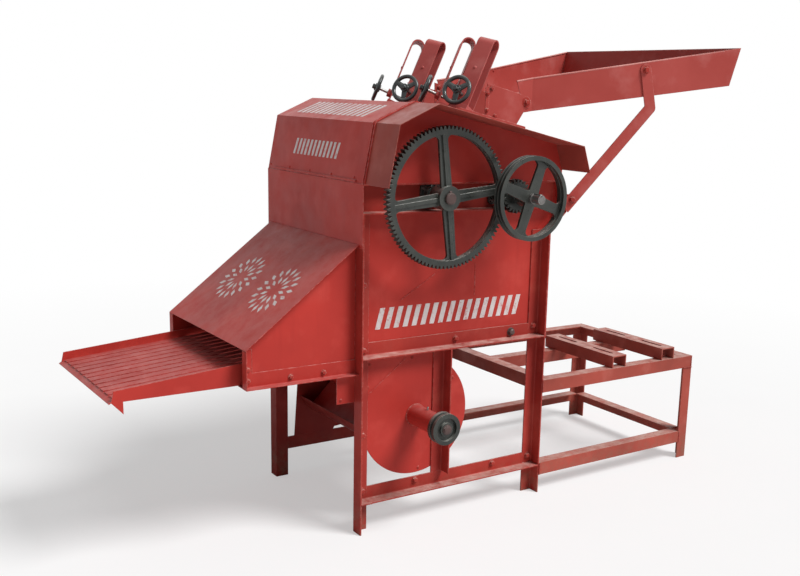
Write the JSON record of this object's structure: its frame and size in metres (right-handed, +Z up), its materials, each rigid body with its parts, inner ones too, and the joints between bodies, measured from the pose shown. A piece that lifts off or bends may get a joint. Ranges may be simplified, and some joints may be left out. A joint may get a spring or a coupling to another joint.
{
  "type": "corn sheller",
  "caption": "Engine-driven corn sheller: sheet body on an angle-iron frame, feed hopper over sprung throats, geared rotor, fan, shaker tray and engine table.",
  "frame": {"origin": "centre of the bounding box's base, on the floor", "axes": "+X from the shaker tray to the engine table, +Y from the gear side to the far side, +Z up"},
  "size_m": [2.45, 1.1031, 1.741],
  "materials": {
    "body_paint": "semi-gloss oxide-red paint on sheet steel, worn at the edges",
    "frame_paint": "satin oxide-red paint on rolled angle",
    "tray_paint": "dusty oxide-red paint",
    "cast_dark": "greasy dark casting",
    "handwheel_dark": "dark handwheel with a bare screw",
    "shaft_steel": "oiled bare steel"
  },
  "bodies": {
    "frame": {"leg_near_left": "frame_paint", "leg_near_right": "frame_paint", "leg_far_left": "frame_paint", "leg_far_right": "frame_paint", "upper_rail_near": "frame_paint", "upper_rail_far": "frame_paint", "lower_rail_near": "frame_paint", "lower_rail_far": "frame_paint", "cross_rails": "frame_paint", "fan_posts": "frame_paint", "table_beam_near": "frame_paint", "table_beam_far": "frame_paint", "table_beam_right": "frame_paint", "table_beam_left": "frame_paint", "table_beam_middle": "frame_paint", "table_legs": "frame_paint", "table_stretchers": "frame_paint", "engine_rails": "frame_paint", "panel_near": "body_paint", "panel_far": "body_paint", "wall_left": "body_paint", "wall_right": "body_paint", "bearing_channel_near": "frame_paint", "bearing_channel_far": "frame_paint", "shaft_bearings": "cast_dark", "top_cover": "body_paint", "gear_guard": "body_paint", "throat_curb": "body_paint", "throat_plates_near": "body_paint", "throat_plates_far": "body_paint", "hood_plate": "body_paint", "hood_side_near": "body_paint", "hood_side_far": "body_paint", "tray_runners": "body_paint", "inner_chutes": "body_paint", "concave": "cast_dark", "fan_plate_near": "body_paint", "fan_plate_far": "body_paint", "fan_scroll": "body_paint", "fan_bearing_tube": "body_paint", "springs_near": "body_paint", "springs_far": "body_paint", "hopper": "body_paint", "hopper_strut": "body_paint"},
    "rotor": {"rotor_shaft": "shaft_steel", "drive_gear": "cast_dark", "picker_disc_near": "cast_dark", "picker_disc_far": "cast_dark"},
    "drive": {"pinion_shaft": "shaft_steel", "pinion": "cast_dark", "main_pulley": "cast_dark"},
    "fan": {"fan_shaft": "shaft_steel", "fan_impeller": "body_paint", "fan_pulley": "cast_dark"},
    "tray": {"tray_frame": "body_paint", "tray_deck": "tray_paint"},
    "wheel_1": {"handwheel_1": "handwheel_dark"},
    "wheel_2": {"handwheel_2": "handwheel_dark"},
    "wheel_3": {"handwheel_3": "handwheel_dark"},
    "wheel_4": {"handwheel_4": "handwheel_dark"}
  },
  "joints": [
    {"name": "rotor_spin", "type": "hinge", "parent": "frame", "child": "rotor", "pos_m": [-0.13, -0.2855, 1.179], "axis": [0, 1, 0], "continuous": true},
    {"name": "drive_spin", "type": "hinge", "parent": "frame", "child": "drive", "pos_m": [0.16, -0.2855, 1.179], "axis": [0, 1, 0], "continuous": true},
    {"name": "fan_spin", "type": "hinge", "parent": "frame", "child": "fan", "pos_m": [-0.162, -0.2855, 0.392], "axis": [0, 1, 0], "continuous": true},
    {"name": "tray_shake", "type": "slide", "parent": "frame", "child": "tray", "axis": [1, 0, 0], "range_m": [-0.015, 0.015]},
    {"name": "handwheel_1_turn", "type": "hinge", "parent": "frame", "child": "wheel_1", "pos_m": [0.07283, -0.207, 1.50571], "axis": [0.8075, 0.454, -0.3766], "range_deg": [-1080, 1080]},
    {"name": "handwheel_2_turn", "type": "hinge", "parent": "frame", "child": "wheel_2", "pos_m": [0.07283, -0.079, 1.50571], "axis": [0.8075, -0.454, -0.3766], "range_deg": [-1080, 1080]},
    {"name": "handwheel_3_turn", "type": "hinge", "parent": "frame", "child": "wheel_3", "pos_m": [0.07283, 0.133, 1.50571], "axis": [0.8075, 0.454, -0.3766], "range_deg": [-1080, 1080]},
    {"name": "handwheel_4_turn", "type": "hinge", "parent": "frame", "child": "wheel_4", "pos_m": [0.07283, 0.261, 1.50571], "axis": [0.8075, -0.454, -0.3766], "range_deg": [-1080, 1080]}
  ],
  "couplings": [
    {"joint": "drive_spin", "follows": "rotor_spin", "ratio": -4.2727}
  ]
}
